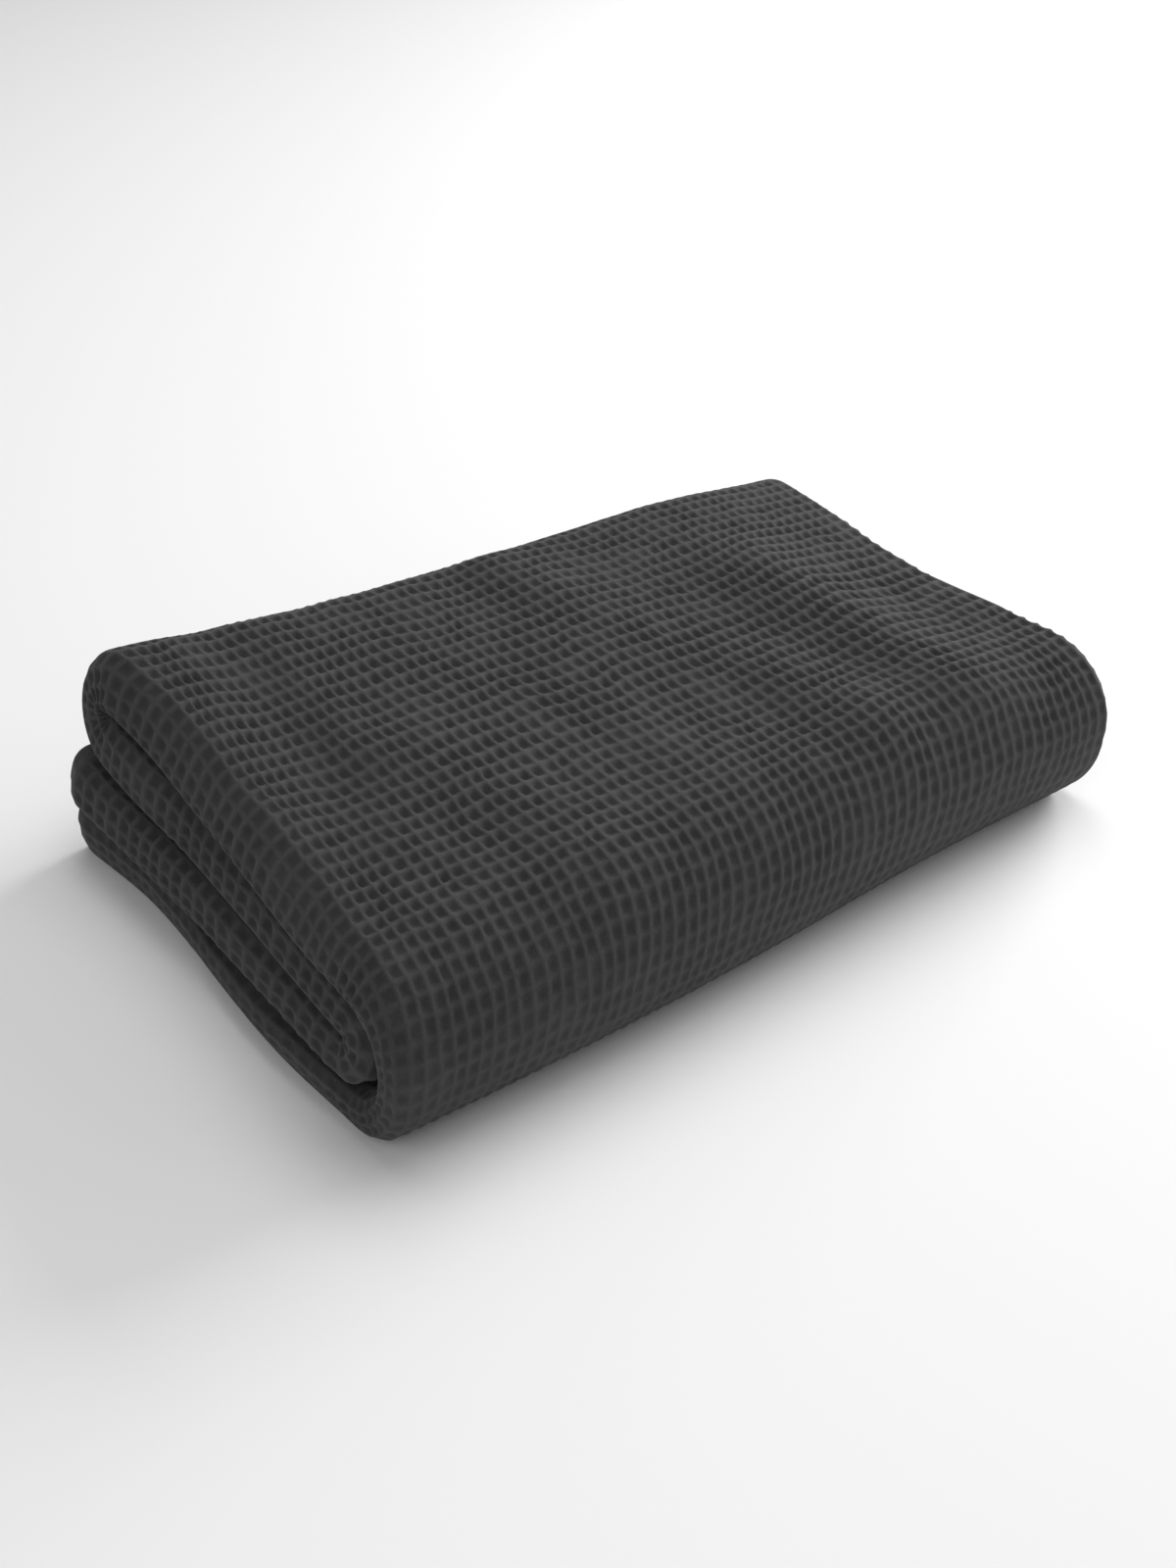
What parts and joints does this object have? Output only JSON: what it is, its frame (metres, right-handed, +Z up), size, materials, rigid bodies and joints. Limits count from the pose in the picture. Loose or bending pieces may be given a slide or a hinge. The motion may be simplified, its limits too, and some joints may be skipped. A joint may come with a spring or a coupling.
{
  "type": "folded waffle weave cotton blanket",
  "caption": "Dark waffle weave cotton blanket folded into a low block, its round folded edges stacked at one end and a wide fold closed along the front.",
  "frame": {"origin": "middle of the folded block's footprint, on the surface it rests on", "axes": "+Z up, +X along the block from the round folded edges to the open end, -Y towards the closed front fold"},
  "size_m": [0.4924, 0.2984, 0.1222],
  "materials": {
    "waffle_cotton": "matte waffle weave"
  },
  "bodies": {
    "root": {"blanket": "waffle_cotton"}
  },
  "joints": []
}
